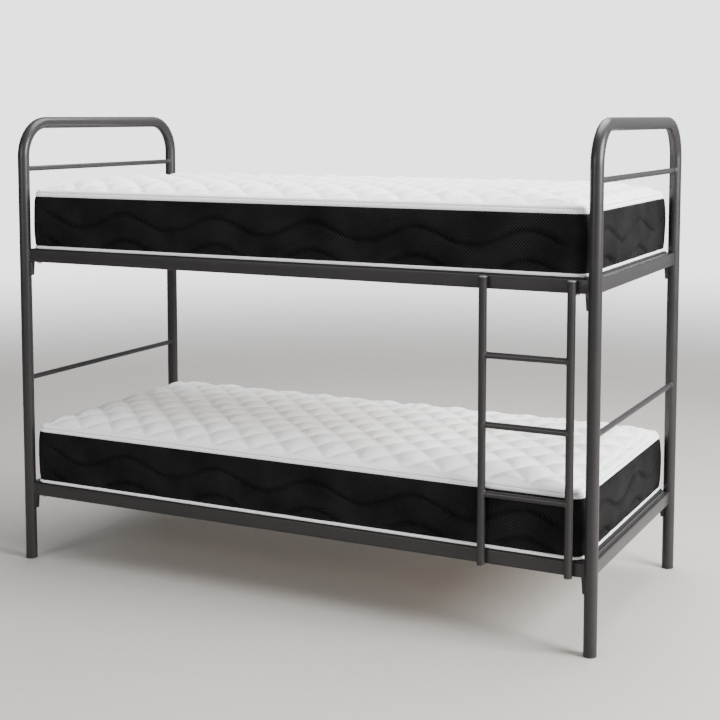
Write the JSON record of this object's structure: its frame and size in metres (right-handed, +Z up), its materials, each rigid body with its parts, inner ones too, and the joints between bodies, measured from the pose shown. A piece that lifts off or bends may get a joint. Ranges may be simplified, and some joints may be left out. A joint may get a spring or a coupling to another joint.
{
  "type": "bunk bed with ladder",
  "caption": "Tubular steel bunk bed with hoop end frames, rectangular side rails, wooden slats, loose quilted mattresses and a lift-off ladder.",
  "frame": {"origin": "on the floor, at the centre of the outline", "axes": "+X along the bed towards the ladder's end, -Y towards the ladder's side, +Z up"},
  "size_m": [2.1, 0.9506, 1.5659],
  "materials": {
    "frame_steel": "satin graphite powder coat",
    "ladder_steel": "satin graphite powder coat",
    "slat_wood": "planed poplar, matt lacquer",
    "foot_plastic": "moulded black",
    "cap_plastic": "moulded dark grey",
    "mattress_cloth": "white quilted knit top, black spacer-mesh border, white piping"
  },
  "bodies": {
    "frame": {"left_hoop": "frame_steel", "left_guard_bar": "frame_steel", "left_mid_bar": "frame_steel", "right_hoop": "frame_steel", "right_guard_bar": "frame_steel", "right_mid_bar": "frame_steel", "upper_left_end_rail": "frame_steel", "upper_right_end_rail": "frame_steel", "upper_front_rail": "frame_steel", "upper_front_left_lug": "frame_steel", "upper_front_right_lug": "frame_steel", "upper_back_rail": "frame_steel", "upper_back_left_lug": "frame_steel", "upper_back_right_lug": "frame_steel", "lower_left_end_rail": "frame_steel", "lower_right_end_rail": "frame_steel", "lower_front_rail": "frame_steel", "lower_front_left_lug": "frame_steel", "lower_front_right_lug": "frame_steel", "lower_back_rail": "frame_steel", "lower_back_left_lug": "frame_steel", "lower_back_right_lug": "frame_steel", "upper_slat_1": "slat_wood", "upper_slat_2": "slat_wood", "upper_slat_3": "slat_wood", "upper_slat_4": "slat_wood", "upper_slat_5": "slat_wood", "upper_slat_6": "slat_wood", "upper_slat_7": "slat_wood", "upper_slat_8": "slat_wood", "upper_slat_9": "slat_wood", "lower_slat_1": "slat_wood", "lower_slat_2": "slat_wood", "lower_slat_3": "slat_wood", "lower_slat_4": "slat_wood", "lower_slat_5": "slat_wood", "lower_slat_6": "slat_wood", "lower_slat_7": "slat_wood", "lower_slat_8": "slat_wood", "lower_slat_9": "slat_wood", "foot_front_left": "foot_plastic", "foot_back_left": "foot_plastic", "foot_front_right": "foot_plastic", "foot_back_right": "foot_plastic"},
    "ladder": {"ladder_left_stile": "ladder_steel", "ladder_upper_left_hook": "ladder_steel", "ladder_lower_left_hook": "ladder_steel", "ladder_right_stile": "ladder_steel", "ladder_upper_right_hook": "ladder_steel", "ladder_lower_right_hook": "ladder_steel", "ladder_rung_1": "ladder_steel", "ladder_rung_2": "ladder_steel", "ladder_rung_3": "ladder_steel", "ladder_left_top_cap": "cap_plastic", "ladder_left_bottom_cap": "cap_plastic", "ladder_right_top_cap": "cap_plastic", "ladder_right_bottom_cap": "cap_plastic"},
    "upper_mattress": {"upper_mattress": "mattress_cloth"},
    "lower_mattress": {"lower_mattress": "mattress_cloth"}
  },
  "joints": [
    {"name": "ladder_lift", "type": "slide", "parent": "frame", "child": "ladder", "axis": [0, 0, 1], "range_m": [0, 0.012]},
    {"name": "upper_mattress_lift", "type": "slide", "parent": "frame", "child": "upper_mattress", "axis": [0, 0, 1], "range_m": [0, 0.3]},
    {"name": "lower_mattress_lift", "type": "slide", "parent": "frame", "child": "lower_mattress", "axis": [0, 0, 1], "range_m": [0, 0.2]}
  ]
}
